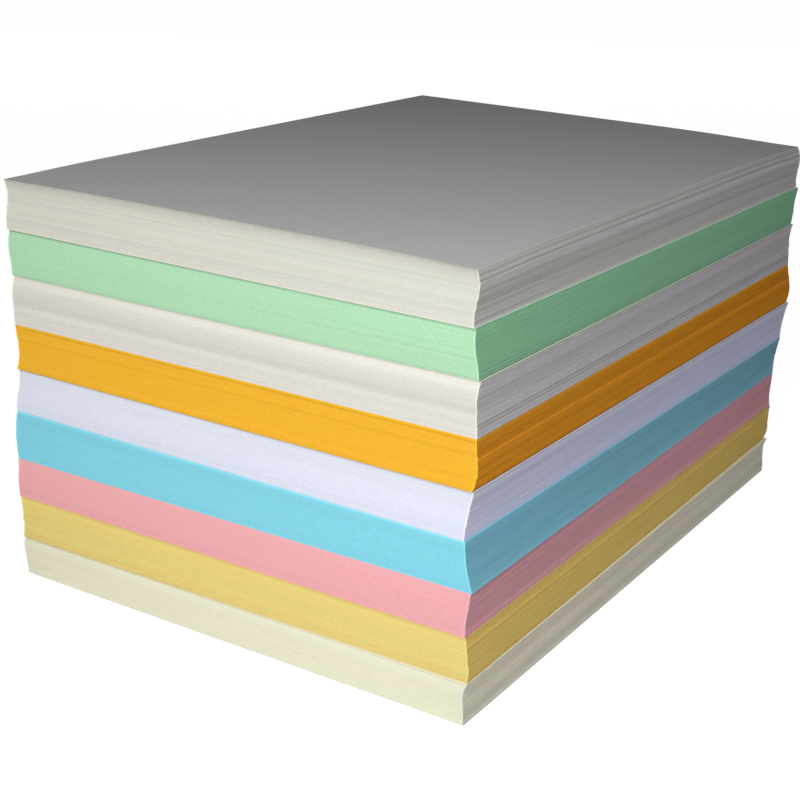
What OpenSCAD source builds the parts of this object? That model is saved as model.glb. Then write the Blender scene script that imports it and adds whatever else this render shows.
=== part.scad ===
// Pack of linen cover paper: nine reams of A4 sheets, one colour each, set loosely on each other.
// X runs along the short side of the sheets, Y along the long side, Z up.
// The origin is the middle of the footprint, on the ground.
// Every sheet is placed on its own, so the edges of the reams lean, bow, flare and step as loose paper does.

/* [Sheets] */
// Short side of a sheet, along X
sheet_w = 210; // [100:1:320]
// Long side of a sheet, along Y
sheet_l = 297; // [140:1:450]
// Sheets in each ream
sheets = 50; // [12:1:60]

/* [Loose sheets] */
// Furthest that one sheet slips against its neighbours
sheet_slip = 0.05; // [0:0.05:0.6]
// Sheets that were handled together as a bundle
bundle = 7; // [3:1:20]
// Furthest that a bundle slips against the ream
bundle_slip = 0.1; // [0:0.05:1.2]
// Start of the random sequence of slips
seed = 11; // [1:1:99]

/* [White ream] */
// Height of the white ream
white_h = 18.3; // [12:0.1:30]
// Offset of the lowest sheet in X and Y
white_foot = [-1.2, 1.1]; // [-6:0.1:6]
// Offset of the highest sheet in X and Y
white_head = [-2, 1.8]; // [-6:0.1:6]
// Bow in X and Y, then S-curve in X and Y
white_curve = [0.5, 0.4, -0.5, -0.1]; // [-4:0.1:4]
// Flare of the lowest sheets in X and Y, then of the highest sheets
white_flare = [0, 0, 0, 0]; // [-3:0.1:3]
// Turn about Z at the foot and at the head, in degrees
white_turn = [-0.45, -0.2]; // [-3:0.05:3]
// Where single sheets stand out, as shares of the height
white_stray_at = [0.9, 0.78, 0.62, 0.42]; // [0:0.01:1]
// How far these sheets stand out in X, below zero when they are set back
white_stray = [0.15, 0.4, -0.15, -0.4]; // [-1.5:0.05:1.5]

/* [Green ream] */
// Height of the green ream
green_h = 17.9; // [12:0.1:30]
// Offset of the lowest sheet in X and Y
green_foot = [-0.6, 1.7]; // [-6:0.1:6]
// Offset of the highest sheet in X and Y
green_head = [0, 1.4]; // [-6:0.1:6]
// Bow in X and Y, then S-curve in X and Y
green_curve = [-0.3, -0.7, 0.2, 0.1]; // [-4:0.1:4]
// Flare of the lowest sheets in X and Y, then of the highest sheets
green_flare = [-0.1, 0, -0.4, 0.1]; // [-3:0.1:3]
// Turn about Z at the foot and at the head, in degrees
green_turn = [0.1, -0.55]; // [-3:0.05:3]
// Where single sheets stand out, as shares of the height
green_stray_at = [0.84, 0.34]; // [0:0.01:1]
// How far these sheets stand out in X, below zero when they are set back
green_stray = [-0.1, 0.1]; // [-1.5:0.05:1.5]

/* [Ivory ream] */
// Height of the ivory ream
ivory_h = 19.3; // [12:0.1:30]
// Offset of the lowest sheet in X and Y
ivory_foot = [0.1, 0.5]; // [-6:0.1:6]
// Offset of the highest sheet in X and Y
ivory_head = [-0.3, 1.9]; // [-6:0.1:6]
// Bow in X and Y, then S-curve in X and Y
ivory_curve = [-0.3, -0.4, 0.2, 0.1]; // [-4:0.1:4]
// Flare of the lowest sheets in X and Y, then of the highest sheets
ivory_flare = [0.3, 0.1, 0.4, 0]; // [-3:0.1:3]
// Turn about Z at the foot and at the head, in degrees
ivory_turn = [0.05, 0.05]; // [-3:0.05:3]
// Where single sheets stand out, as shares of the height
ivory_stray_at = [0.94, 0.46, 0.22, 0.14]; // [0:0.01:1]
// How far these sheets stand out in X, below zero when they are set back
ivory_stray = [-0.35, 0.15, -0.5, -0.25]; // [-1.5:0.05:1.5]

/* [Orange ream] */
// Height of the orange ream
orange_h = 18.5; // [12:0.1:30]
// Offset of the lowest sheet in X and Y
orange_foot = [1.2, -0.1]; // [-6:0.1:6]
// Offset of the highest sheet in X and Y
orange_head = [0.4, 0.9]; // [-6:0.1:6]
// Bow in X and Y, then S-curve in X and Y
orange_curve = [1, 0.3, 0.4, 0]; // [-4:0.1:4]
// Flare of the lowest sheets in X and Y, then of the highest sheets
orange_flare = [-0.1, 0, -0.1, -0.1]; // [-3:0.1:3]
// Turn about Z at the foot and at the head, in degrees
orange_turn = [-0.3, 0]; // [-3:0.05:3]
// Where single sheets stand out, as shares of the height
orange_stray_at = [0.9, 0.7]; // [0:0.01:1]
// How far these sheets stand out in X, below zero when they are set back
orange_stray = [0.15, -0.1]; // [-1.5:0.05:1.5]

/* [Lavender ream] */
// Height of the lavender ream
lavender_h = 18.1; // [12:0.1:30]
// Offset of the lowest sheet in X and Y
lavender_foot = [-0.8, 0.1]; // [-6:0.1:6]
// Offset of the highest sheet in X and Y
lavender_head = [1.8, 0.5]; // [-6:0.1:6]
// Bow in X and Y, then S-curve in X and Y
lavender_curve = [-0.7, 1, 0.1, -0.4]; // [-4:0.1:4]
// Flare of the lowest sheets in X and Y, then of the highest sheets
lavender_flare = [0.3, -0.1, 0.1, -0.2]; // [-3:0.1:3]
// Turn about Z at the foot and at the head, in degrees
lavender_turn = [-0.5, -0.4]; // [-3:0.05:3]
// Where single sheets stand out, as shares of the height
lavender_stray_at = [0.86, 0.14]; // [0:0.01:1]
// How far these sheets stand out in X, below zero when they are set back
lavender_stray = [-0.1, 0.15]; // [-1.5:0.05:1.5]

/* [Cyan ream] */
// Height of the cyan ream
cyan_h = 18.1; // [12:0.1:30]
// Offset of the lowest sheet in X and Y
cyan_foot = [0.7, -2.4]; // [-6:0.1:6]
// Offset of the highest sheet in X and Y
cyan_head = [0, -0.4]; // [-6:0.1:6]
// Bow in X and Y, then S-curve in X and Y
cyan_curve = [-0.4, -0.4, 0, 0.1]; // [-4:0.1:4]
// Flare of the lowest sheets in X and Y, then of the highest sheets
cyan_flare = [0.2, 0, 0.1, 0.1]; // [-3:0.1:3]
// Turn about Z at the foot and at the head, in degrees
cyan_turn = [0.6, -0.45]; // [-3:0.05:3]
// Where single sheets stand out, as shares of the height
cyan_stray_at = [0.56, 0.32]; // [0:0.01:1]
// How far these sheets stand out in X, below zero when they are set back
cyan_stray = [0.1, -0.1]; // [-1.5:0.05:1.5]

/* [Pink ream] */
// Height of the pink ream
pink_h = 17; // [12:0.1:30]
// Offset of the lowest sheet in X and Y
pink_foot = [0.1, -2]; // [-6:0.1:6]
// Offset of the highest sheet in X and Y
pink_head = [0.5, -2.2]; // [-6:0.1:6]
// Bow in X and Y, then S-curve in X and Y
pink_curve = [-0.2, -0.1, -0.2, 0]; // [-4:0.1:4]
// Flare of the lowest sheets in X and Y, then of the highest sheets
pink_flare = [0.1, 0, 0.3, 0]; // [-3:0.1:3]
// Turn about Z at the foot and at the head, in degrees
pink_turn = [0.2, 0.5]; // [-3:0.05:3]
// Where single sheets stand out, as shares of the height
pink_stray_at = [0.82, 0.1]; // [0:0.01:1]
// How far these sheets stand out in X, below zero when they are set back
pink_stray = [0.25, 0.15]; // [-1.5:0.05:1.5]

/* [Yellow ream] */
// Height of the yellow ream
yellow_h = 18.2; // [12:0.1:30]
// Offset of the lowest sheet in X and Y
yellow_foot = [0.1, -1.1]; // [-6:0.1:6]
// Offset of the highest sheet in X and Y
yellow_head = [0.6, -2.1]; // [-6:0.1:6]
// Bow in X and Y, then S-curve in X and Y
yellow_curve = [0.3, 0.2, 0.4, -0.3]; // [-4:0.1:4]
// Flare of the lowest sheets in X and Y, then of the highest sheets
yellow_flare = [-0.1, -0.1, 0.1, -0.1]; // [-3:0.1:3]
// Turn about Z at the foot and at the head, in degrees
yellow_turn = [0.6, 0.2]; // [-3:0.05:3]
// Where single sheets stand out, as shares of the height
yellow_stray_at = [0.9, 0.76]; // [0:0.01:1]
// How far these sheets stand out in X, below zero when they are set back
yellow_stray = [-0.2, 0.3]; // [-1.5:0.05:1.5]

/* [Cream ream] */
// Height of the cream ream
cream_h = 17.9; // [12:0.1:30]
// Offset of the lowest sheet in X and Y
cream_foot = [-1, 1.2]; // [-6:0.1:6]
// Offset of the highest sheet in X and Y
cream_head = [0.2, -0.8]; // [-6:0.1:6]
// Bow in X and Y, then S-curve in X and Y
cream_curve = [-0.6, 0.1, 0.3, 0.1]; // [-4:0.1:4]
// Flare of the lowest sheets in X and Y, then of the highest sheets
cream_flare = [0.4, 0, 0.9, 0]; // [-3:0.1:3]
// Turn about Z at the foot and at the head, in degrees
cream_turn = [0.2, 0.3]; // [-3:0.05:3]
// Where single sheets stand out, as shares of the height
cream_stray_at = [0.88, 0.5]; // [0:0.01:1]
// How far these sheets stand out in X, below zero when they are set back
cream_stray = [-0.3, 0.1]; // [-1.5:0.05:1.5]

/* [Hidden] */

// Offsets and turns are kept to whole steps, so sheets lie either flush or clearly apart
step = 0.05;
turn_step = 0.05;
// How suddenly the reams flare at their feet and heads
flare_power = 8;

// What the row of a ream holds
HEIGHT = 0; FOOT = 1; HEAD = 2; CURVE = 3; FLARE = 4; TURN = 5; STRAY_AT = 6; STRAY = 7;

// The reams from the ground up
REAMS = [
    [cream_h, cream_foot, cream_head, cream_curve, cream_flare, cream_turn,
     cream_stray_at, cream_stray],
    [yellow_h, yellow_foot, yellow_head, yellow_curve, yellow_flare, yellow_turn,
     yellow_stray_at, yellow_stray],
    [pink_h, pink_foot, pink_head, pink_curve, pink_flare, pink_turn,
     pink_stray_at, pink_stray],
    [cyan_h, cyan_foot, cyan_head, cyan_curve, cyan_flare, cyan_turn,
     cyan_stray_at, cyan_stray],
    [lavender_h, lavender_foot, lavender_head, lavender_curve, lavender_flare, lavender_turn,
     lavender_stray_at, lavender_stray],
    [orange_h, orange_foot, orange_head, orange_curve, orange_flare, orange_turn,
     orange_stray_at, orange_stray],
    [ivory_h, ivory_foot, ivory_head, ivory_curve, ivory_flare, ivory_turn,
     ivory_stray_at, ivory_stray],
    [green_h, green_foot, green_head, green_curve, green_flare, green_turn,
     green_stray_at, green_stray],
    [white_h, white_foot, white_head, white_curve, white_flare, white_turn,
     white_stray_at, white_stray]
];

// Random slips: two for each sheet, then two for each bundle
slips = rands(-1, 1, 2 * len(REAMS) * sheets, seed);
bundle_slips = rands(-1, 1, 2 * len(REAMS) * sheets, seed + 100);

// Thickness of a sheet of ream r with its share of air, in whole thousandths so that sheets meet exactly
function sheet_t(r) = round(1000 * REAMS[r][HEIGHT] / sheets) / 1000;

// Height of the ground under ream r
function floor_of(r) = r == 0 ? 0 : floor_of(r - 1) + sheets * sheet_t(r - 1);

// Smooth line that the edge of ream r follows in axis a, with t from 0 at its foot to 1 at its head
function edge_line(r, a, t) =
    REAMS[r][FOOT][a] + (REAMS[r][HEAD][a] - REAMS[r][FOOT][a]) * t
    + REAMS[r][CURVE][a] * sin(180 * t)
    + REAMS[r][CURVE][a + 2] * sin(360 * t)
    + REAMS[r][FLARE][a] * pow(1 - t, flare_power)
    + REAMS[r][FLARE][a + 2] * pow(t, flare_power);

// How far sheet i of ream r stands out in X
function stray(r, i) =
    let (at = REAMS[r][STRAY_AT],
         hits = [for (k = [0 : len(at) - 1])
                    if (round(at[k] * (sheets - 1)) == i) REAMS[r][STRAY][k]])
    len(hits) > 0 ? hits[0] : 0;

// Offset of sheet i of ream r in axis a, 0 for X and 1 for Y
function sheet_offset(r, a, i) =
    let (k = 2 * (r * sheets + i) + a,
         b = 2 * (r * sheets + floor(i / bundle)) + a)
    step * round((edge_line(r, a, i / (sheets - 1))
                  + (a == 0 ? stray(r, i) : 0)
                  + sheet_slip * slips[k]
                  + bundle_slip * bundle_slips[b]) / step);

// Turn of sheet i of ream r, in whole steps too
function sheet_turn(r, i) =
    let (turn = REAMS[r][TURN])
    turn_step * round((turn[0] + (turn[1] - turn[0]) * i / (sheets - 1)) / turn_step);

// Where the corners of all sheets lie along axis a, once they are turned
function corners(a) =
    [for (r = [0 : len(REAMS) - 1], i = [0 : sheets - 1], sx = [-0.5, 0.5], sy = [-0.5, 0.5])
        let (x = sx * sheet_w + sheet_offset(r, 0, i),
             y = sy * sheet_l + sheet_offset(r, 1, i),
             turn = sheet_turn(r, i))
        a == 0 ? x * cos(turn) - y * sin(turn) : x * sin(turn) + y * cos(turn)];

// Shift that brings the middle of the footprint to the origin
centre = [for (a = [0, 1]) -(min(corners(a)) + max(corners(a))) / 2];

// Sheet i of ream r, where it slipped to and turned as it lies
module sheet(r, i) {
    translate([0, 0, i * sheet_t(r)])
        linear_extrude(height = sheet_t(r))
            rotate(sheet_turn(r, i))
                translate([sheet_offset(r, 0, i), sheet_offset(r, 1, i)])
                    square([sheet_w, sheet_l], center = true);
}

// One ream: its sheets on each other
module ream(r) {
    translate([centre[0], centre[1], floor_of(r)])
        for (i = [0 : sheets - 1]) sheet(r, i);
}

// Cream sheets at the bottom of the pack
module cream_ream() { color([0.92, 0.90, 0.80]) ream(0); }

// Yellow sheets on the cream ones
module yellow_ream() { color([0.92, 0.82, 0.47]) ream(1); }

// Pink sheets on the yellow ones
module pink_ream() { color([0.96, 0.70, 0.72]) ream(2); }

// Cyan sheets, the most slanted of all
module cyan_ream() { color([0.52, 0.84, 0.91]) ream(3); }

// Lavender sheets on the cyan ones
module lavender_ream() { color([0.90, 0.91, 0.97]) ream(4); }

// Orange sheets in the middle of the upper half
module orange_ream() { color([0.99, 0.72, 0.20]) ream(5); }

// Ivory sheets on the orange ones
module ivory_ream() { color([0.91, 0.89, 0.84]) ream(6); }

// Mint green sheets under the white ones
module green_ream() { color([0.72, 0.90, 0.74]) ream(7); }

// White sheets on top of the pack
module white_ream() { color([0.91, 0.90, 0.86]) ream(8); }

cream_ream();
yellow_ream();
pink_ream();
cyan_ream();
lavender_ream();
orange_ream();
ivory_ream();
green_ream();
white_ream();
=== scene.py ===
"""Dresses a pack of linen cover paper: nine reams of loose sheets, one colour each.

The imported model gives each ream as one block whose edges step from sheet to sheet. Every ream is
rebuilt here as separate thin sheets that lie where the block has them, with the fine waviness,
fibres and embossing of the real paper. Only the topmost ream, which nothing presses flat, springs
up a little above its block.
"""

import logging
import math
from dataclasses import dataclass, field
from enum import Enum

import bpy
import numpy as np
from mathutils import Matrix, Vector

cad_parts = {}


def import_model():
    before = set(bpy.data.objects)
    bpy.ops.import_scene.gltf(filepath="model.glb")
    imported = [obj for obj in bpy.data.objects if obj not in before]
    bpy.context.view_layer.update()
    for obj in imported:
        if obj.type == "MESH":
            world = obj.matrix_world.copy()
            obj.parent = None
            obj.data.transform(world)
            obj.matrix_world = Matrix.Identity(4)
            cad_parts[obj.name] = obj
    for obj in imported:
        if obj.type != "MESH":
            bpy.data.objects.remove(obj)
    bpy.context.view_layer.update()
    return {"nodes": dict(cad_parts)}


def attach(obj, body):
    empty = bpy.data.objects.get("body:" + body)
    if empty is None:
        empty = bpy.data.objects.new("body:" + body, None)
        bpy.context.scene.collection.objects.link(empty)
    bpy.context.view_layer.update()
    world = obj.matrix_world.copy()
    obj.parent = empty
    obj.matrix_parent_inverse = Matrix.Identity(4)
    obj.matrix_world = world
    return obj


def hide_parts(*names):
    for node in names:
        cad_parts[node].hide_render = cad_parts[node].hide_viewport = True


log = logging.getLogger("paper_pack")

MM = 0.001
SHEETS_PER_REAM = 50

# Least part of a normal that lies along Z on a sheet's face, and along X or Y on its cut edge
FACE_NORMAL = 0.8
EDGE_NORMAL = 0.6
# Lightest that a paper's colour gets
LIGHTEST = 0.99
# Sharpest bend that is still shaded smoothly, in degrees
SMOOTH_BEND_DEG = 30
# Radians by which a Wave texture turns for each metre, at a scale of 1
WAVE_TURN = 20

Colour = tuple[float, float, float]


def srgb(red: int, green: int, blue: int) -> Colour:
    """Turns a colour as it is seen on a screen into the linear one that shaders use.

    Args:
        red: Red, from 0 to 255.
        green: Green, from 0 to 255.
        blue: Blue, from 0 to 255.

    Returns:
        The linear colour.
    """
    def linear(level: int) -> float:
        """Returns one channel's linear level."""
        share = level / 255
        return share / 12.92 if share <= 0.04045 else ((share + 0.055) / 1.055) ** 2.4

    return linear(red), linear(green), linear(blue)


class Shade(Enum):
    """The colours that the paper comes in, each with the name of its ream in the model."""

    CREAM = "cream"
    YELLOW = "yellow"
    PINK = "pink"
    CYAN = "cyan"
    LAVENDER = "lavender"
    ORANGE = "orange"
    IVORY = "ivory"
    GREEN = "green"
    WHITE = "white"

    @property
    def node(self) -> str:
        """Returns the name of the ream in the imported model."""
        return f"{self.value}_ream"

    @property
    def slot(self) -> str:
        """Returns the name of the record's material slot."""
        return f"{self.value}_paper"


class Side(Enum):
    """The short and the long sides of the pack, with the axis that their sheets' edges face."""

    SHORT = "Y"
    LONG = "X"

    @property
    def along(self) -> str:
        """Returns the name of the axis that runs along the side."""
        return "X" if self is Side.SHORT else "Y"


@dataclass(frozen=True)
class Nick:
    """A faint line that the cutting knife left across one side of a ream."""

    side: Side
    # Where the mark starts and ends: along the side, and above the ground
    start: tuple[float, float]
    end: tuple[float, float]
    tone: float = 0.10
    width: float = 0.5 * MM


@dataclass(frozen=True)
class Band:
    """A painted lighter or darker line along one side of a ream: painted highlight where sheets
    stand out and catch the light, painted shade where they stand back or lie under an overhang.
    """

    side: Side
    # Share of the ream's height, from its foot
    level: float
    tone: float
    # Sheets over which the tone fades out, above and below
    spread: float = 1.0


@dataclass(frozen=True)
class Tint:
    """A tint on one sheet, counted from the foot of its ream, or from the head when below zero."""

    sheet: int
    colour: Colour


@dataclass(frozen=True)
class Corner:
    """How the topmost sheet lies at one corner of a loose ream, above the model's block."""

    # Height that the corner's quarter of the sheet springs up by
    rise: float
    # How far the tip is pressed down from there, and over which distance
    droop: float = 0.0
    reach: float = 30.0 * MM


@dataclass(frozen=True)
class Spring:
    """The air between the sheets of the uppermost ream, which nothing presses flat."""

    left_front: Corner
    right_front: Corner
    left_back: Corner
    right_back: Corner

    def lift(self, places: np.ndarray) -> np.ndarray:
        """Works out how far the topmost sheet stands above the model's block.

        Args:
            places: One row for each place on the sheet, with X and Y first.

        Returns:
            The height at each place.
        """
        low, high = places[:, :2].min(axis=0), places[:, :2].max(axis=0)
        across, along = ((places[:, :2] - low) / (high - low)).T
        height = np.zeros(len(places))
        for corner, tip, weight in (
            (self.left_front, (low[0], low[1]), (1 - across) * (1 - along)),
            (self.right_front, (high[0], low[1]), across * (1 - along)),
            (self.left_back, (low[0], high[1]), (1 - across) * along),
            (self.right_back, (high[0], high[1]), across * along),
        ):
            away = np.linalg.norm(places[:, :2] - tip, axis=1)
            height += corner.rise * weight - corner.droop * np.exp(-((away / corner.reach) ** 2))
        return height


class NodeTree:
    """A small helper that adds and joins the nodes of a shader or geometry tree."""

    def __init__(self, tree: bpy.types.NodeTree) -> None:
        """Empties a tree and keeps it for building.

        Args:
            tree: The node tree to build in.
        """
        self.tree = tree
        tree.nodes.clear()

    def add(self, kind: str, inputs: dict | None = None, **settings: object) -> bpy.types.Node:
        """Adds one node.

        Args:
            kind: The node's type name in Blender.
            inputs: Values or sockets by input name or number.
            settings: Properties of the node.

        Returns:
            The new node.
        """
        node = self.tree.nodes.new(kind)
        for name, value in settings.items():
            setattr(node, name, value)
        for name, value in (inputs or {}).items():
            if isinstance(value, bpy.types.NodeSocket):
                self.tree.links.new(value, node.inputs[name])
            else:
                node.inputs[name].default_value = value
        return node

    def math(self, operation: str, *values: object) -> bpy.types.NodeSocket:
        """Adds a Math node.

        Args:
            operation: The operation's name.
            values: Its operands, numbers or sockets.

        Returns:
            The result's socket.
        """
        inputs = dict(enumerate(values))
        return self.add("ShaderNodeMath", inputs, operation=operation).outputs[0]

    def vector(self, operation: str, *values: object) -> bpy.types.NodeSocket:
        """Adds a Vector Math node.

        Args:
            operation: The operation's name.
            values: Its operands, triples or sockets.

        Returns:
            The result's socket, a vector or a number.
        """
        inputs = dict(enumerate(values))
        node = self.add("ShaderNodeVectorMath", inputs, operation=operation)
        return node.outputs[1 if operation in ("DOT_PRODUCT", "LENGTH") else 0]

    def scaled(self, vector: object, scale: object) -> bpy.types.NodeSocket:
        """Adds a Vector Math node that makes a vector longer or shorter.

        Args:
            vector: The vector, a triple or a socket.
            scale: The factor, a number or a socket.

        Returns:
            The result's socket.
        """
        inputs = {0: vector, "Scale": scale}
        return self.add("ShaderNodeVectorMath", inputs, operation="SCALE").outputs[0]

    def swing(self, share: bpy.types.NodeSocket, reach: object) -> bpy.types.NodeSocket:
        """Adds nodes that turn a value from 0 to 1 into one that swings about zero.

        Args:
            share: The value's socket.
            reach: How far the result swings in all, a number or a socket.

        Returns:
            The result's socket.
        """
        return self.math("MULTIPLY", self.math("SUBTRACT", share, 0.5), reach)


@dataclass(frozen=True)
class PaperFinish:
    """Uncoated cover paper with a fine linen embossing, and its cut edges, which also carry
    painted shade and highlights.
    """

    shade: Shade
    colour: Colour
    # How the colours of the long side's cut and of the embossed faces differ; the long side's
    # factor is painted shade, for the lesser light on that side
    long_cut: Colour = (1.0, 1.0, 1.0)
    face: Colour = (0.99, 1.0, 1.03)
    bands: tuple[Band, ...] = ()
    tints: tuple[Tint, ...] = ()
    nicks: tuple[Nick, ...] = ()
    # How far single sheets, long bands and short streaks swing in tone on the cut edges
    sheet_contrast: float = 0.05
    band_contrast: float = 0.06
    streak_contrast: float = 0.16
    # How fast the bands and the streaks change along X and Y, and from sheet to sheet
    band_scale: tuple[float, float, float] = (2.5, 2.5, 260.0)
    streak_scale: tuple[float, float, float] = (16.0, 16.0, 2500.0)
    # Share of these contrasts that is left on the short side, which the light meets head on
    short_side_share: float = 0.4
    # How far the fibres of the cut swing in tone, and how light single torn ones are
    grain_contrast: float = 0.22
    grain_scale: float = 1700.0
    speck_tone: float = 0.04
    speck_scale: float = 1400.0
    # Levels of the specks' noise at which one starts, and at which it is fully light
    speck_levels: tuple[float, float] = (0.68, 0.76)
    # How far the fibres of the faces swing in tone
    fibre_contrast: float = 0.06
    fibre_scale: float = 900.0
    # Painted highlight: a lighter line along the corners of the short side
    burr_tone: float = 0.20
    burr_width: float = 0.8 * MM
    # Share of the painted highlight's width that has its full tone
    burr_core: float = 0.3
    # How fast the waves of the linen embossing turn, in radians for each metre
    linen_turn: float = 1500.0
    # How high the embossing is against the roughness of the cut
    linen_height: float = 0.5
    cut_scale: float = 2500.0
    relief_strength: float = 0.15
    relief_depth: float = 0.05 * MM
    roughness: float = 0.92

    def material(self) -> bpy.types.Material:
        """Makes the paper's material.

        Returns:
            A material that reads Object coordinates and the sheets' own attributes.
        """
        material = bpy.data.materials.new(self.shade.slot)
        material.use_nodes = True
        nodes = NodeTree(material.node_tree)
        place = nodes.add("ShaderNodeTexCoord").outputs["Object"]
        normal = nodes.add("ShaderNodeNewGeometry").outputs["True Normal"]
        facing = nodes.add("ShaderNodeSeparateXYZ", {0: normal}).outputs
        on_face = nodes.math("GREATER_THAN", nodes.math("ABSOLUTE", facing["Z"]), FACE_NORMAL)
        on_side = {
            side: nodes.math(
                "GREATER_THAN", nodes.math("ABSOLUTE", facing[side.value]), EDGE_NORMAL
            )
            for side in Side
        }
        edge = self._edge_tone(nodes, place, on_side)
        for nick in self.nicks:
            edge = nodes.math("ADD", edge, self._nick_tone(nodes, place, on_side[nick.side], nick))
        fibres = nodes.add("ShaderNodeTexNoise", {
            "Vector": place, "Scale": self.fibre_scale, "Detail": 3.0, "Roughness": 0.6,
        }).outputs["Fac"]
        face = nodes.math("ADD", nodes.swing(fibres, self.fibre_contrast), 1.0)
        tone = nodes.add(
            "ShaderNodeMix", {"Factor": on_face, "A": edge, "B": face}, data_type="FLOAT"
        )
        tint = nodes.add("ShaderNodeAttribute", attribute_name="tint").outputs["Vector"]
        toned = nodes.scaled(tint, tone.outputs[0])
        pulp = self.colour
        # The long side's cut takes its painted shade here, the faces their own tint
        for where, change in ((on_side[Side.LONG], self.long_cut), (on_face, self.face)):
            pulp = nodes.add("ShaderNodeMix", {
                "Factor": where, "A": pulp, "B": tuple(np.multiply(self.colour, change)),
            }, data_type="VECTOR").outputs["Result"]
        colour = nodes.vector("MINIMUM", nodes.vector("MULTIPLY", toned, pulp), (LIGHTEST,) * 3)
        shader = nodes.add(
            "ShaderNodeBsdfPrincipled",
            {
                "Base Color": colour,
                "Roughness": self.roughness,
                "Specular IOR Level": 0.0,
                "Normal": self._relief(nodes, place, on_face),
            },
        )
        nodes.add("ShaderNodeOutputMaterial", {"Surface": shader.outputs[0]})
        return material

    def _edge_tone(self, nodes: NodeTree, place: bpy.types.NodeSocket,
                   on_side: dict[Side, bpy.types.NodeSocket]) -> bpy.types.NodeSocket:
        """Adds the light and dark of the cut edges: random bands, streaks and specks, the painted
        highlight and shade lines of each side, and a painted highlight at the corners.

        Args:
            nodes: The tree to add to.
            place: Object coordinates.
            on_side: For each kind of side, 1 on it and 0 elsewhere.

        Returns:
            A tone of about 1.
        """
        streaky = []
        axes = nodes.add("ShaderNodeSeparateXYZ", {0: place}).outputs
        level = nodes.add("ShaderNodeAttribute", attribute_name="level").outputs["Fac"]
        on_sheet = nodes.add(
            "ShaderNodeCombineXYZ", {"X": axes["X"], "Y": axes["Y"], "Z": level}
        ).outputs[0]
        for scale, detail, reach in (
            (self.band_scale, 1.0, self.band_contrast),
            (self.streak_scale, 2.0, self.streak_contrast),
        ):
            stretched = nodes.vector("MULTIPLY", on_sheet, scale)
            noise = nodes.add(
                "ShaderNodeTexNoise", {"Vector": stretched, "Scale": 1.0, "Detail": detail}
            ).outputs["Fac"]
            streaky.append(nodes.swing(noise, reach))
        tones = nodes.add("ShaderNodeAttribute", attribute_name="tones").outputs["Vector"]
        short_tone, long_tone, chance = nodes.add("ShaderNodeSeparateXYZ", {0: tones}).outputs
        streaky.append(nodes.swing(chance, self.sheet_contrast))
        swings = nodes.math("ADD", nodes.math("ADD", *streaky[:2]), streaky[2])
        share = nodes.math(
            "MULTIPLY_ADD", on_side[Side.SHORT], self.short_side_share - 1.0, 1.0
        )
        tone = nodes.math("MULTIPLY_ADD", swings, share, 1.0)
        # Adds the painted highlight and shade lines of each side
        for side, level in ((Side.SHORT, short_tone), (Side.LONG, long_tone)):
            tone = nodes.math("MULTIPLY_ADD", level, on_side[side], tone)
        specks = nodes.add(
            "ShaderNodeTexNoise", {"Vector": place, "Scale": self.speck_scale, "Detail": 0.0}
        ).outputs["Fac"]
        faintest, lightest = self.speck_levels
        speck = nodes.add("ShaderNodeMapRange", {
            "Value": specks, "From Min": faintest, "From Max": lightest,
            "To Min": 0.0, "To Max": self.speck_tone,
        }).outputs[0]
        tone = nodes.math("ADD", tone, nodes.math("MULTIPLY", speck, on_side[Side.LONG]))
        grain = nodes.add(
            "ShaderNodeTexNoise", {"Vector": place, "Scale": self.grain_scale, "Detail": 1.0}
        ).outputs["Fac"]
        tone = nodes.math("ADD", tone, nodes.swing(grain, self.grain_contrast))
        rim = nodes.add("ShaderNodeAttribute", attribute_name="rim").outputs["Vector"]
        from_corner = nodes.add("ShaderNodeSeparateXYZ", {0: rim}).outputs["X"]
        # Painted highlight along the corners of the short side
        burr = nodes.add("ShaderNodeMapRange", {
            "Value": from_corner,
            "From Min": self.burr_core * self.burr_width, "From Max": self.burr_width,
            "To Min": self.burr_tone, "To Max": 0.0,
        }, interpolation_type="SMOOTHSTEP").outputs[0]
        return nodes.math("ADD", tone, nodes.math("MULTIPLY", burr, on_side[Side.SHORT]))

    @staticmethod
    def _nick_tone(nodes: NodeTree, place: bpy.types.NodeSocket,
                   on_side: bpy.types.NodeSocket, nick: Nick) -> bpy.types.NodeSocket:
        """Adds one knife mark.

        Args:
            nodes: The tree to add to.
            place: Object coordinates.
            on_side: 1 on the mark's side, 0 elsewhere.
            nick: The mark.

        Returns:
            The tone that the mark adds.
        """
        axes = nodes.add("ShaderNodeSeparateXYZ", {0: place}).outputs
        flat = nodes.add(
            "ShaderNodeCombineXYZ", {"X": axes[nick.side.along], "Y": axes["Z"]}
        ).outputs[0]
        run = Vector((nick.end[0] - nick.start[0], nick.end[1] - nick.start[1], 0.0))
        ahead = nodes.vector("SUBTRACT", flat, (*nick.start, 0.0))
        share = nodes.math(
            "DIVIDE", nodes.vector("DOT_PRODUCT", ahead, tuple(run)), run.length_squared
        )
        share = nodes.add("ShaderNodeClamp", {"Value": share}).outputs[0]
        reached = nodes.scaled(tuple(run), share)
        away = nodes.vector("LENGTH", nodes.vector("SUBTRACT", ahead, reached))
        mark = nodes.add("ShaderNodeMapRange", {
            "Value": away, "From Min": 0.0, "From Max": nick.width,
            "To Min": nick.tone, "To Max": 0.0,
        }).outputs[0]
        return nodes.math("MULTIPLY", mark, on_side)

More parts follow.
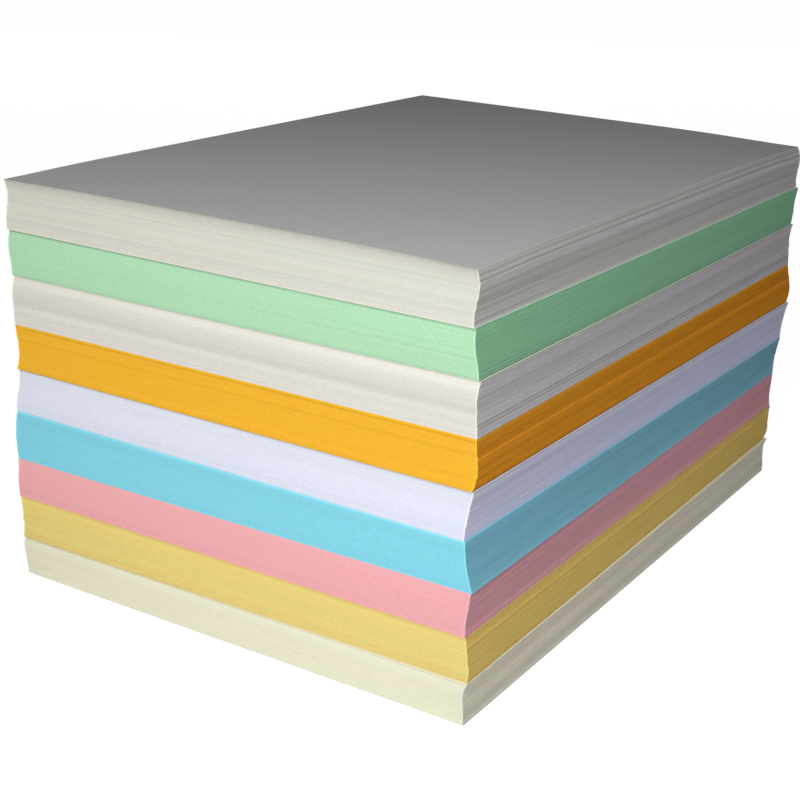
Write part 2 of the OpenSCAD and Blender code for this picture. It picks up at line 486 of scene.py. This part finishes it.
    def _relief(self, nodes: NodeTree, place: bpy.types.NodeSocket,
                on_face: bpy.types.NodeSocket) -> bpy.types.NodeSocket:
        """Adds the linen embossing of the faces and the rough cut of the edges.

        Args:
            nodes: The tree to add to.
            place: Object coordinates.
            on_face: 1 on the flat faces of the sheets, 0 on their edges.

        Returns:
            The bumped normal.
        """
        threads = []
        for direction in ("X", "Y"):
            threads.append(nodes.add(
                "ShaderNodeTexWave",
                {"Vector": place, "Scale": self.linen_turn / WAVE_TURN, "Distortion": 1.5,
                 "Detail": 2.0, "Detail Scale": 2.0},
                wave_type="BANDS", bands_direction=direction,
            ).outputs["Fac"])
        linen = nodes.math("MULTIPLY", nodes.math("ADD", *threads), on_face)
        cut = nodes.add(
            "ShaderNodeTexNoise", {"Vector": place, "Scale": self.cut_scale, "Detail": 2.0}
        ).outputs["Fac"]
        height = nodes.math("MULTIPLY_ADD", linen, self.linen_height, cut)
        return nodes.add("ShaderNodeBump", {
            "Strength": self.relief_strength, "Distance": self.relief_depth, "Height": height,
        }).outputs[0]


@dataclass
class SheetTree:
    """The Geometry Nodes tree that lays sheets of paper on a column of points."""

    # Faces along the short and the long side of a sheet
    parts_across: int = 6
    parts_along: int = 8
    # How fast the drift of the edges changes along each axis; every sheet has its own
    drift_scale: tuple[float, float, float] = (12.0, 12.0, 1800.0)
    group: bpy.types.NodeTree = field(init=False)

    def __post_init__(self) -> None:
        """Builds the tree."""
        self.group = bpy.data.node_groups.new("loose_sheets", "GeometryNodeTree")
        nodes = NodeTree(self.group)
        source, result = self._interface(nodes)
        sheet = nodes.add("GeometryNodeMeshCube", {
            "Size": nodes.add("ShaderNodeCombineXYZ", {
                "X": source["Sheet Width"],
                "Y": source["Sheet Length"],
                "Z": source["Sheet Thickness"],
            }).outputs[0],
            "Vertices X": self.parts_across + 1,
            "Vertices Y": self.parts_along + 1,
            "Vertices Z": 2,
        })
        turn = nodes.add("GeometryNodeInputNamedAttribute", {"Name": "turn"}, data_type="FLOAT")
        rimmed = nodes.add("GeometryNodeStoreNamedAttribute", {
            "Geometry": sheet.outputs["Mesh"],
            "Name": "rim",
            "Value": self._rim(nodes, source),
        }, data_type="FLOAT_VECTOR", domain="POINT")
        laid = nodes.add("GeometryNodeInstanceOnPoints", {
            "Points": source["Geometry"],
            "Instance": rimmed.outputs["Geometry"],
            "Rotation": nodes.add(
                "ShaderNodeCombineXYZ", {"Z": turn.outputs["Attribute"]}
            ).outputs[0],
        })
        loose = nodes.add("GeometryNodeRealizeInstances", {"Geometry": laid.outputs[0]})
        leaning = nodes.add("GeometryNodeSetPosition", {
            "Geometry": loose.outputs[0],
            "Offset": self._lean(nodes),
        })
        waved = nodes.add("GeometryNodeSetPosition", {
            "Geometry": leaning.outputs[0],
            "Offset": self._wave(nodes, source),
        })
        dressed = nodes.add("GeometryNodeSetMaterial", {
            "Geometry": waved.outputs[0],
            "Material": source["Paper"],
        })
        self.group.links.new(dressed.outputs[0], result.inputs[0])

    def _interface(self, nodes: NodeTree) -> tuple[dict, bpy.types.Node]:
        """Args:
            nodes: The tree to add to.

        Returns:
            The input sockets by name, and the output node.
        """
        sides = self.group.interface
        for name, kind in (
            ("Geometry", "NodeSocketGeometry"),
            ("Sheet Width", "NodeSocketFloat"),
            ("Sheet Length", "NodeSocketFloat"),
            ("Sheet Thickness", "NodeSocketFloat"),
            ("Edge Drift", "NodeSocketFloat"),
            ("Seed", "NodeSocketFloat"),
            ("Paper", "NodeSocketMaterial"),
        ):
            sides.new_socket(name, in_out="INPUT", socket_type=kind)
        sides.new_socket("Geometry", in_out="OUTPUT", socket_type="NodeSocketGeometry")
        entry = nodes.add("NodeGroupInput")
        return {s.name: s for s in entry.outputs if s.name}, nodes.add("NodeGroupOutput")

    @staticmethod
    def _rim(nodes: NodeTree, source: dict) -> bpy.types.NodeSocket:
        """Adds how far each point of a sheet lies from the sheet's sides.

        Args:
            nodes: The tree to add to.
            source: The tree's input sockets by name.

        Returns:
            The distances along X and Y.
        """
        place = nodes.add("GeometryNodeInputPosition").outputs[0]
        half = nodes.add("ShaderNodeCombineXYZ", {
            "X": nodes.math("MULTIPLY", source["Sheet Width"], 0.5),
            "Y": nodes.math("MULTIPLY", source["Sheet Length"], 0.5),
        }).outputs[0]
        return nodes.vector("SUBTRACT", half, nodes.vector("ABSOLUTE", place))

    @staticmethod
    def _lean(nodes: NodeTree) -> bpy.types.NodeSocket:
        """Adds the lean of each sheet's cut edge, so that the edges of a ream make one surface.

        Args:
            nodes: The tree to add to.

        Returns:
            The offset of each point.
        """
        place = nodes.add("GeometryNodeInputPosition").outputs[0]
        height = nodes.add("ShaderNodeSeparateXYZ", {0: place}).outputs["Z"]
        level = nodes.add("GeometryNodeInputNamedAttribute", {"Name": "level"}, data_type="FLOAT")
        lean = nodes.add(
            "GeometryNodeInputNamedAttribute", {"Name": "lean"}, data_type="FLOAT_VECTOR"
        )
        above = nodes.math("SUBTRACT", height, level.outputs["Attribute"])
        return nodes.scaled(lean.outputs["Attribute"], above)

    def _wave(self, nodes: NodeTree, source: dict) -> bpy.types.NodeSocket:
        """Adds the small drift of each sheet's edge along its length.

        Args:
            nodes: The tree to add to.
            source: The tree's input sockets by name.

        Returns:
            The offset of each point.
        """
        place = nodes.add("GeometryNodeInputPosition").outputs[0]
        squeezed = nodes.vector("MULTIPLY", place, self.drift_scale)
        drift = nodes.add("ShaderNodeTexNoise", {
            "Vector": squeezed, "W": source["Seed"], "Scale": 1.0, "Detail": 1.0,
        }, noise_dimensions="4D").outputs["Color"]
        centred = nodes.vector("SUBTRACT", drift, (0.5, 0.5, 0.5))
        level = nodes.vector("MULTIPLY", centred, (1.0, 1.0, 0.0))
        return nodes.scaled(level, source["Edge Drift"])

    def identifier(self, name: str) -> str:
        """Returns the identifier of an input socket."""
        return next(
            item.identifier for item in self.group.interface.items_tree
            if item.name == name and getattr(item, "in_out", "") == "INPUT"
        )


@dataclass
class Ream:
    """One ream: the loose sheets of one colour, laid where the model's block has them."""

    finish: PaperFinish
    tree: SheetTree
    seed: int
    # Share of a sheet's room that the paper fills, the rest is air
    fullness: float = 0.985
    # How far an edge drifts in and out along its length, in all
    edge_drift: float = 0.10 * MM
    # Sheets on each side that a sheet's lean is smoothed over
    lean_reach: int = 2
    # The air in a ream that nothing presses flat
    spring: Spring | None = None

    def footprints(self, block: bpy.types.Object) -> np.ndarray:
        """Measures where each sheet lies, from the model's block.

        Args:
            block: The ream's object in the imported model.

        Returns:
            One row for each sheet, from the lowest: the corners right-front, left-front,
            left-back and right-back, each with X, Y and Z.
        """
        mesh = block.data
        points = np.empty(len(mesh.vertices) * 3)
        mesh.vertices.foreach_get("co", points)
        points = points.reshape(-1, 3)
        ends = np.empty(len(mesh.edges) * 2, dtype=int)
        mesh.edges.foreach_get("vertices", ends)
        first, second = points[ends.reshape(-1, 2)].swapaxes(0, 1)
        low, high = points[:, 2].min(), points[:, 2].max()
        rows = []
        for sheet in range(SHEETS_PER_REAM):
            level = low + (high - low) * (sheet + 0.5) / SHEETS_PER_REAM
            crossing = (first[:, 2] - level) * (second[:, 2] - level) < 0
            a, b = first[crossing], second[crossing]
            cut = a + (b - a) * ((level - a[:, 2]) / (b[:, 2] - a[:, 2]))[:, None]
            rows.append([
                cut[np.argmax(cut[:, :2] @ corner)]
                for corner in ((1, -1), (-1, -1), (-1, 1), (1, 1))
            ])
        return np.array(rows)

    def build(self, block: bpy.types.Object) -> bpy.types.Object:
        """Makes the ream's sheets and puts them in place of the block.

        Args:
            block: The ream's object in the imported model.

        Returns:
            The finished piece.
        """
        corners = self.footprints(block)
        front = corners[:, 0] - corners[:, 1]
        side = corners[:, 3] - corners[:, 0]
        room = float(corners[1:, 0, 2].mean() - corners[:-1, 0, 2].mean())
        piece = self._column(corners.mean(axis=1), np.arctan2(front[:, 1], front[:, 0]))
        modifier = piece.modifiers.new("sheets", "NODES")
        modifier.node_group = self.tree.group
        for name, value in {
            "Sheet Width": float(np.linalg.norm(front[:, :2], axis=1).mean()),
            "Sheet Length": float(np.linalg.norm(side[:, :2], axis=1).mean()),
            "Sheet Thickness": room * self.fullness,
            "Edge Drift": self.edge_drift,
            "Seed": float(self.seed),
            "Paper": self.finish.material(),
        }.items():
            modifier[self.tree.identifier(name)] = value
        return self._settle(piece)

    def _column(self, centres: np.ndarray, turns: np.ndarray) -> bpy.types.Object:
        """Makes the column of points that the sheets are laid on.

        Args:
            centres: The middle of each sheet.
            turns: Each sheet's turn about Z, in radians.

        Returns:
            An object with one point for each sheet.
        """
        chance = np.random.default_rng(self.seed)
        mesh = bpy.data.meshes.new(f"{self.finish.shade.value}_points")
        mesh.from_pydata([Vector(c) for c in centres], [], [])
        tints = np.ones((len(centres), 3))
        for tint in self.finish.tints:
            tints[tint.sheet] = tint.colour
        sheets = np.arange(len(centres))
        tones = np.zeros((len(centres), 3))
        tones[:, 2] = chance.uniform(0.0, 1.0, len(centres))
        # Painted highlight and shade lines along each side: ledges that catch the light, shadows
        # under overhangs
        for band in self.finish.bands:
            away = (sheets - band.level * (len(centres) - 1)) / band.spread
            tones[:, 0 if band.side is Side.SHORT else 1] += band.tone * np.exp(-away ** 2)
        for name, kind, values in (
            ("turn", "FLOAT", turns),
            ("level", "FLOAT", centres[:, 2]),
            ("lean", "FLOAT_VECTOR", self._leans(centres)),
            ("tint", "FLOAT_VECTOR", tints),
            ("tones", "FLOAT_VECTOR", tones),
        ):
            attribute = mesh.attributes.new(name, kind, "POINT")
            attribute.data.foreach_set("value" if kind == "FLOAT" else "vector", values.ravel())
        piece = bpy.data.objects.new(f"{self.finish.shade.value}_sheets", mesh)
        bpy.context.scene.collection.objects.link(piece)
        return piece

    def _leans(self, centres: np.ndarray) -> np.ndarray:
        """Works out how the pile leans at each sheet.

        Args:
            centres: The middle of each sheet.

        Returns:
            One row for each sheet: the shift in X and Y for each metre of height, and zero.
        """
        reach = self.lean_reach
        weights = np.bartlett(2 * reach + 3)[1:-1]
        weights /= weights.sum()
        leans = np.zeros((len(centres), 3))
        for axis in (0, 1):
            padded = np.pad(centres[:, axis], reach, mode="reflect", reflect_type="odd")
            smooth = np.convolve(padded, weights, mode="valid")
            leans[:, axis] = np.gradient(smooth, centres[:, 2])
        return leans

    def _settle(self, piece: bpy.types.Object) -> bpy.types.Object:
        """Turns the evaluated sheets into a plain mesh and hangs the piece on the model.

        Args:
            piece: The object with the sheets' modifier.

        Returns:
            The same object with its own mesh and no modifier.
        """
        graph = bpy.context.evaluated_depsgraph_get()
        mesh = bpy.data.meshes.new_from_object(piece.evaluated_get(graph))
        mesh.name = f"{self.finish.shade.value}_sheets"
        if self.spring:
            self._swell(mesh)
        piece.modifiers.clear()
        piece.data = mesh
        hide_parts(self.finish.shade.node)
        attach(piece, "root")
        return piece

    def _swell(self, mesh: bpy.types.Mesh) -> None:
        """Spreads the sheets apart by the air between them, more and more towards the head.

        Args:
            mesh: The ream's mesh, which is changed.
        """
        points = np.empty(len(mesh.vertices) * 3)
        mesh.vertices.foreach_get("co", points)
        points = points.reshape(-1, 3)
        low, high = points[:, 2].min(), points[:, 2].max()
        points[:, 2] += self.spring.lift(points) * (points[:, 2] - low) / (high - low)
        mesh.vertices.foreach_set("co", points.ravel())
        mesh.shade_smooth()
        mesh.set_sharp_from_angle(angle=math.radians(SMOOTH_BEND_DEG))
        mesh.update()


@dataclass
class PaperPack:
    """The whole pack: nine reams set on each other, with their finishes and painted shade from the
    ground up.
    """

    finishes: tuple[PaperFinish, ...] = (
        PaperFinish(
            Shade.CREAM, srgb(253, 251, 226), long_cut=(0.89, 0.85, 0.87),
            bands=(
                Band(Side.SHORT, 0.0, -0.12, 0.8),
                Band(Side.SHORT, 0.86, 0.06, 5.0),
                Band(Side.SHORT, 0.97, -0.13, 1.4),
                Band(Side.LONG, 0.0, -0.60, 0.6),
                Band(Side.LONG, 0.02, 0.26, 0.7),
                Band(Side.LONG, 0.10, -0.05, 1.5),
                Band(Side.LONG, 0.24, -0.19, 4.5),
                Band(Side.LONG, 0.54, -0.06, 1.5),
                Band(Side.LONG, 0.84, 0.26, 7.0),
            ),
        ),
        PaperFinish(
            Shade.YELLOW, srgb(246, 225, 141), long_cut=(0.95, 0.84, 0.67),
            bands=(
                Band(Side.SHORT, 0.90, 0.06, 2.0),
                Band(Side.SHORT, 0.50, -0.03, 4.0),
                Band(Side.LONG, 0.0, -0.22, 1.0),
                Band(Side.LONG, 0.11, 0.20, 3.5),
                Band(Side.LONG, 0.44, -0.10, 2.8),
                Band(Side.LONG, 0.72, -0.05, 2.5),
                Band(Side.LONG, 0.80, 0.14, 1.5),
                Band(Side.LONG, 0.90, 0.12, 3.0),
                Band(Side.LONG, 1.0, -0.15, 1.2),
            ),
            sheet_contrast=0.10,
        ),
        PaperFinish(
            Shade.PINK, srgb(252, 185, 192), long_cut=(0.80, 0.85, 0.84),
            bands=(
                Band(Side.SHORT, 0.13, -0.035, 4.0),
                Band(Side.SHORT, 0.98, 0.07, 1.0),
                Band(Side.LONG, 0.0, -0.16, 0.8),
                Band(Side.LONG, 0.06, 0.27, 1.5),
                Band(Side.LONG, 0.26, -0.08, 2.5),
                Band(Side.LONG, 0.70, -0.09, 1.0),
                Band(Side.LONG, 0.76, 0.25, 1.2),
                Band(Side.LONG, 0.84, -0.13, 1.1),
                Band(Side.LONG, 0.93, -0.12, 1.0),
                Band(Side.LONG, 0.95, 0.17, 4.5),
            ),
            tints=(Tint(0, (1.04, 0.94, 1.0)),),
        ),
        PaperFinish(
            Shade.CYAN, srgb(140, 222, 242), long_cut=(1.03, 0.78, 0.75),
            bands=(
                Band(Side.SHORT, 0.84, -0.045, 4.5),
                Band(Side.SHORT, 1.0, 0.20, 1.0),
                Band(Side.LONG, 0.0, 0.18, 3.5),
                Band(Side.LONG, 0.20, 0.07, 1.2),
                Band(Side.LONG, 0.32, -0.07, 2.5),
                Band(Side.LONG, 0.53, 0.07, 1.6),
                Band(Side.LONG, 0.63, -0.06, 2.0),
                Band(Side.LONG, 0.80, -0.07, 4.5),
                Band(Side.LONG, 0.97, 0.07, 1.5),
            ),
            tints=(Tint(0, (0.75, 1.06, 1.08)), Tint(-1, (1.10, 1.04, 1.02))),
            nicks=(Nick(Side.SHORT, (0.0596, 0.0571), (0.0690, 0.0684), tone=0.07),),
        ),
        PaperFinish(
            Shade.LAVENDER, srgb(231, 235, 253), long_cut=(0.91, 0.89, 0.92),
            bands=(
                Band(Side.SHORT, 0.12, -0.03, 3.5),
                Band(Side.SHORT, 0.88, 0.04, 5.0),
                Band(Side.SHORT, 0.99, -0.24, 0.9),
                Band(Side.LONG, 0.0, -0.12, 0.8),
                Band(Side.LONG, 0.08, 0.06, 1.8),
                Band(Side.LONG, 0.15, -0.06, 1.0),
                Band(Side.LONG, 0.37, -0.07, 3.0),
                Band(Side.LONG, 0.55, -0.07, 1.5),
                Band(Side.LONG, 0.70, 0.07, 3.5),
                Band(Side.LONG, 0.91, 0.26, 4.5),
                Band(Side.LONG, 1.0, -0.25, 0.8),
            ),
            tints=(Tint(0, (1.04, 0.93, 0.95)), Tint(-1, (0.90, 0.94, 1.10))),
        ),
        PaperFinish(
            Shade.ORANGE, srgb(247, 187, 57), long_cut=(0.86, 0.64, 0.59),
            bands=(
                Band(Side.SHORT, 0.0, -0.10, 1.0),
                Band(Side.SHORT, 0.16, 0.05, 2.5),
                Band(Side.SHORT, 0.68, -0.08, 1.3),
                Band(Side.SHORT, 0.93, -0.18, 1.0),
                Band(Side.SHORT, 0.99, 0.32, 0.8),
                Band(Side.LONG, 0.0, -0.30, 1.0),
                Band(Side.LONG, 0.12, 0.20, 3.5),
                Band(Side.LONG, 0.27, 0.05, 2.0),
                Band(Side.LONG, 0.44, -0.08, 5.0),
                Band(Side.LONG, 0.49, -0.08, 0.9),
                Band(Side.LONG, 0.58, 0.10, 2.0),
                Band(Side.LONG, 0.63, 0.24, 1.0),
                Band(Side.LONG, 0.68, -0.20, 1.2),
                Band(Side.LONG, 0.77, -0.15, 4.5),
                Band(Side.LONG, 0.867, 0.17, 1.0),
                Band(Side.LONG, 0.84, -0.08, 0.8),
                Band(Side.LONG, 0.91, -0.14, 1.0),
                Band(Side.LONG, 0.97, 0.66, 1.1),
            ),
            speck_tone=0.24,
            nicks=(Nick(Side.LONG, (-0.0582, 0.1005), (-0.0635, 0.0909), tone=0.08),),
        ),
        PaperFinish(
            Shade.IVORY, srgb(226, 224, 218), long_cut=(0.84, 0.83, 0.86),
            bands=(
                Band(Side.SHORT, 0.0, 0.08, 0.8),
                Band(Side.SHORT, 0.03, -0.07, 1.0),
                Band(Side.SHORT, 0.18, -0.03, 1.2),
                Band(Side.SHORT, 0.51, -0.10, 4.5),
                Band(Side.SHORT, 0.90, 0.10, 5.0),
                Band(Side.SHORT, 0.95, 0.06, 1.5),
                Band(Side.SHORT, 1.0, -0.20, 0.9),
                Band(Side.LONG, 0.06, -0.05, 1.5),
                Band(Side.LONG, 0.19, -0.19, 1.6),
                Band(Side.LONG, 0.24, 0.11, 1.8),
                Band(Side.LONG, 0.35, -0.07, 1.5),
                Band(Side.LONG, 0.44, 0.28, 1.4),
                Band(Side.LONG, 0.56, -0.14, 5.0),
                Band(Side.LONG, 0.84, 0.08, 4.0),
                Band(Side.LONG, 0.88, -0.12, 1.2),
                Band(Side.LONG, 0.95, 0.38, 1.8),
                Band(Side.LONG, 1.0, -0.42, 0.8),
            ),
            tints=(Tint(0, (0.95, 1.02, 1.22)), Tint(-1, (1.03, 0.96, 0.95))),
            sheet_contrast=0.16, short_side_share=0.6,
        ),
        PaperFinish(
            Shade.GREEN, srgb(184, 229, 193), long_cut=(0.65, 0.81, 0.70),
            bands=(
                Band(Side.SHORT, 0.0, -0.12, 3.0),
                Band(Side.SHORT, 0.985, -0.34, 1.2),
                Band(Side.LONG, 0.0, -0.12, 1.0),
                Band(Side.LONG, 0.275, 0.06, 1.8),
                Band(Side.LONG, 0.54, -0.06, 1.2),
                Band(Side.LONG, 0.93, 0.08, 3.5),
                Band(Side.LONG, 1.0, -0.14, 0.8),
            ),
            streak_contrast=0.10, speck_tone=0.18,
            nicks=(Nick(Side.SHORT, (0.0811, 0.1443), (0.0981, 0.1289), tone=0.07),),
        ),
        PaperFinish(
            Shade.WHITE, srgb(218, 217, 209), long_cut=(0.89, 0.87, 0.87),
            bands=(
                Band(Side.SHORT, 0.0, 0.12, 1.6),
                Band(Side.SHORT, 0.84, -0.06, 0.8),
                Band(Side.SHORT, 0.94, -0.14, 2.5),
                Band(Side.SHORT, 0.89, -0.05, 1.5),
                Band(Side.SHORT, 0.98, -0.18, 0.9),
                Band(Side.SHORT, 1.0, -0.22, 0.6),
                Band(Side.LONG, 0.0, 0.17, 1.3),
                Band(Side.LONG, 0.02, 0.06, 0.6),
                Band(Side.LONG, 0.12, -0.17, 2.0),
                Band(Side.LONG, 0.25, 0.05, 2.0),
                Band(Side.LONG, 0.165, 0.06, 0.8),
                Band(Side.LONG, 0.39, -0.22, 1.0),
                Band(Side.LONG, 0.435, 0.26, 0.9),
                Band(Side.LONG, 0.50, -0.08, 2.5),
                Band(Side.LONG, 0.59, -0.12, 1.2),
                Band(Side.LONG, 0.72, 0.12, 2.5),
                Band(Side.LONG, 0.745, 0.85, 1.0),
                Band(Side.LONG, 0.805, -0.24, 1.0),
                Band(Side.LONG, 0.87, 0.20, 0.9),
                Band(Side.LONG, 0.915, -0.32, 0.9),
                Band(Side.LONG, 0.95, 0.14, 0.7),
                Band(Side.LONG, 0.975, -0.16, 0.7),
                Band(Side.LONG, 1.0, 0.16, 0.7),
            ),
            # The sheet below the topmost is darker, a painted shadow under the top sheet
            tints=(Tint(0, (1.06, 1.02, 1.04)), Tint(-2, (1.0, 0.96, 0.94))),
            sheet_contrast=0.11, short_side_share=0.7,
        ),
    )
    spring: Spring = Spring(
        left_front=Corner(1.64 * MM, droop=0.55 * MM, reach=29 * MM),
        right_front=Corner(1.67 * MM, droop=0.96 * MM, reach=26 * MM),
        left_back=Corner(2.44 * MM),
        right_back=Corner(1.97 * MM, droop=1.27 * MM, reach=37 * MM),
    )

    def build(self, nodes: dict[str, bpy.types.Object]) -> list[bpy.types.Object]:
        """Builds every ream.

        Args:
            nodes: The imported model's objects by name.

        Returns:
            The finished pieces, from the ground up.
        """
        flat, supple = SheetTree(), SheetTree(parts_across=18, parts_along=24)
        pieces = []
        for seed, finish in enumerate(self.finishes, start=1):
            topmost = finish is self.finishes[-1]
            tree, spring = (supple, self.spring) if topmost else (flat, None)
            piece = Ream(finish, tree, seed, spring=spring).build(nodes[finish.shade.node])
            log.info("%s: %d faces", piece.name, len(piece.data.polygons))
            pieces.append(piece)
        return pieces


@dataclass(frozen=True)
class Lamp:
    """A soft panel of light, aimed at a point."""

    name: str
    place: tuple[float, float, float]
    aim: tuple[float, float, float]
    size: tuple[float, float]
    power: float
    colour: Colour = (1.0, 1.0, 1.0)

    def build(self) -> bpy.types.Object:
        """Adds the lamp.

        Returns:
            The lamp's object.
        """
        light = bpy.data.lights.new(self.name, "AREA")
        light.shape = "RECTANGLE"
        light.size, light.size_y = self.size
        light.energy = self.power
        light.color = self.colour
        lamp = bpy.data.objects.new(self.name, light)
        lamp.location = self.place
        towards = Vector(self.aim) - Vector(self.place)
        lamp.rotation_euler = towards.to_track_quat("-Z", "Y").to_euler()
        bpy.context.scene.collection.objects.link(lamp)
        return lamp


@dataclass
class Studio:
    """A white table top with the pack on it, one soft lamp above the camera and low fills."""

    lamps: tuple[Lamp, ...] = (
        Lamp("key_lamp", (0.30, -0.60, 0.60), (0.0, 0.0, 0.08), (0.14, 0.14), 3.66,
             (0.973, 1.0, 1.03)),
        Lamp("front_fill", (0.0, -2.0, 0.10), (0.0, 0.0, 0.08), (2.4, 0.18), 7.5,
             (1.09, 1.0, 0.90)),
        Lamp("low_fill", (0.0, -0.42, 0.004), (0.0, -0.42, 1.0), (0.6, 0.4), 0.39,
             (1.11, 1.07, 0.82)),
        Lamp("side_fill", (2.0, 0.1, 0.10), (0.0, 0.0, 0.08), (2.4, 0.18), 4.0,
             (1.0, 0.97, 1.17)),
        # Lower than the pack, so that it lights only the sides away from the camera
        Lamp("back_fill", (-1.3, 1.5, 0.10), (0.0, 0.0, 0.08), (2.4, 0.18), 9.0),
    )
    floor_reach: float = 6.0
    # Grey of the table top for the light that falls on the pack from it
    floor_grey: Colour = (0.88, 0.88, 0.88)
    # What the camera sees of it: a glow, and a grey that holds the pack's shadow
    floor_glow: float = 0.985
    shadow_grey: Colour = (0.12, 0.12, 0.12)
    surroundings: Colour = (0.004, 0.004, 0.005)

    def build(self) -> None:
        """Sets up the table top, the lamps and the surroundings."""
        self._floor()
        for lamp in self.lamps:
            lamp.build()
        self._world()
        bpy.context.scene.view_settings.view_transform = "Standard"

    def _floor(self) -> None:
        """Adds the table top, which the camera sees as white with a faint shadow."""
        reach = self.floor_reach
        mesh = bpy.data.meshes.new("table_top")
        mesh.from_pydata(
            [(x * reach, y * reach, 0.0) for x, y in ((-1, -1), (1, -1), (1, 1), (-1, 1))],
            [], [(0, 1, 2, 3)],
        )
        floor = bpy.data.objects.new("table_top", mesh)
        bpy.context.scene.collection.objects.link(floor)
        material = bpy.data.materials.new("table_white")
        material.use_nodes = True
        nodes = NodeTree(material.node_tree)
        matt, dim = (
            nodes.add("ShaderNodeBsdfDiffuse", {"Color": (*grey, 1)}).outputs[0]
            for grey in (self.floor_grey, self.shadow_grey)
        )
        glow = nodes.add(
            "ShaderNodeEmission", {"Color": (1, 1, 1, 1), "Strength": self.floor_glow}
        ).outputs[0]
        seen = nodes.add("ShaderNodeAddShader", {0: dim, 1: glow}).outputs[0]
        mix = nodes.add("ShaderNodeMixShader", {0: self._seen(nodes), 1: matt, 2: seen}).outputs[0]
        nodes.add("ShaderNodeOutputMaterial", {"Surface": mix})
        mesh.materials.append(material)

    @staticmethod
    def _seen(nodes: NodeTree) -> bpy.types.NodeSocket:
        """Adds a mask of the rays that show the background.

        Args:
            nodes: The tree to add to.

        Returns:
            1 for what the camera sees directly, in mirrors or through glass.
        """
        ray = nodes.add("ShaderNodeLightPath").outputs
        direct = nodes.math("MAXIMUM", ray["Is Camera Ray"], ray["Is Glossy Ray"])
        return nodes.math("MAXIMUM", direct, ray["Is Transmission Ray"])

    def _world(self) -> None:
        """Sets dim surroundings that the camera sees as white."""
        world = bpy.data.worlds.new("surroundings")
        world.use_nodes = True
        nodes = NodeTree(world.node_tree)
        dim = nodes.add("ShaderNodeBackground", {"Color": (*self.surroundings, 1)}).outputs[0]
        white = nodes.add(
            "ShaderNodeBackground", {"Color": (1, 1, 1, 1), "Strength": 1.0}
        ).outputs[0]
        mix = nodes.add("ShaderNodeMixShader", {0: self._seen(nodes), 1: dim, 2: white}).outputs[0]
        nodes.add("ShaderNodeOutputWorld", {"Surface": mix})
        bpy.context.scene.world = world


@dataclass
class Viewpoint:
    """The camera, where it stood for the photograph."""

    place: tuple[float, float, float] = (0.3352, -0.5552, 0.2850)
    heading_deg: float = 120.93
    dip_deg: float = 19.70
    roll_deg: float = -2.21
    # Focal length for a sensor 36 mm wide
    lens: float = 69.12
    shift: tuple[float, float] = (-0.05, 0.0125)

    def build(self) -> bpy.types.Object:
        """Adds the camera and makes it the scene's.

        Returns:
            The camera.
        """
        heading, dip = math.radians(self.heading_deg), math.radians(self.dip_deg)
        ahead = Vector((
            math.cos(dip) * math.cos(heading), math.cos(dip) * math.sin(heading), -math.sin(dip),
        ))
        right = ahead.cross(Vector((0, 0, 1))).normalized()
        up = right.cross(ahead)
        turn = Matrix((right, up, -ahead)).transposed()
        roll = Matrix.Rotation(math.radians(-self.roll_deg), 3, "Z")
        data = bpy.data.cameras.new("camera")
        data.lens = self.lens
        data.sensor_width = 36.0
        data.sensor_fit = "HORIZONTAL"
        data.shift_x, data.shift_y = self.shift
        camera = bpy.data.objects.new("camera", data)
        camera.matrix_world = Matrix.Translation(self.place) @ (turn @ roll).to_4x4()
        bpy.context.scene.collection.objects.link(camera)
        bpy.context.scene.camera = camera
        return camera


def main() -> None:
    """Builds the dressed pack, its stage and its camera."""
    logging.basicConfig(level=logging.INFO)
    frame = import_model()
    PaperPack().build(frame["nodes"])
    Studio().build()
    Viewpoint().build()
    bpy.context.view_layer.update()


if __name__ == "__main__":
    main()
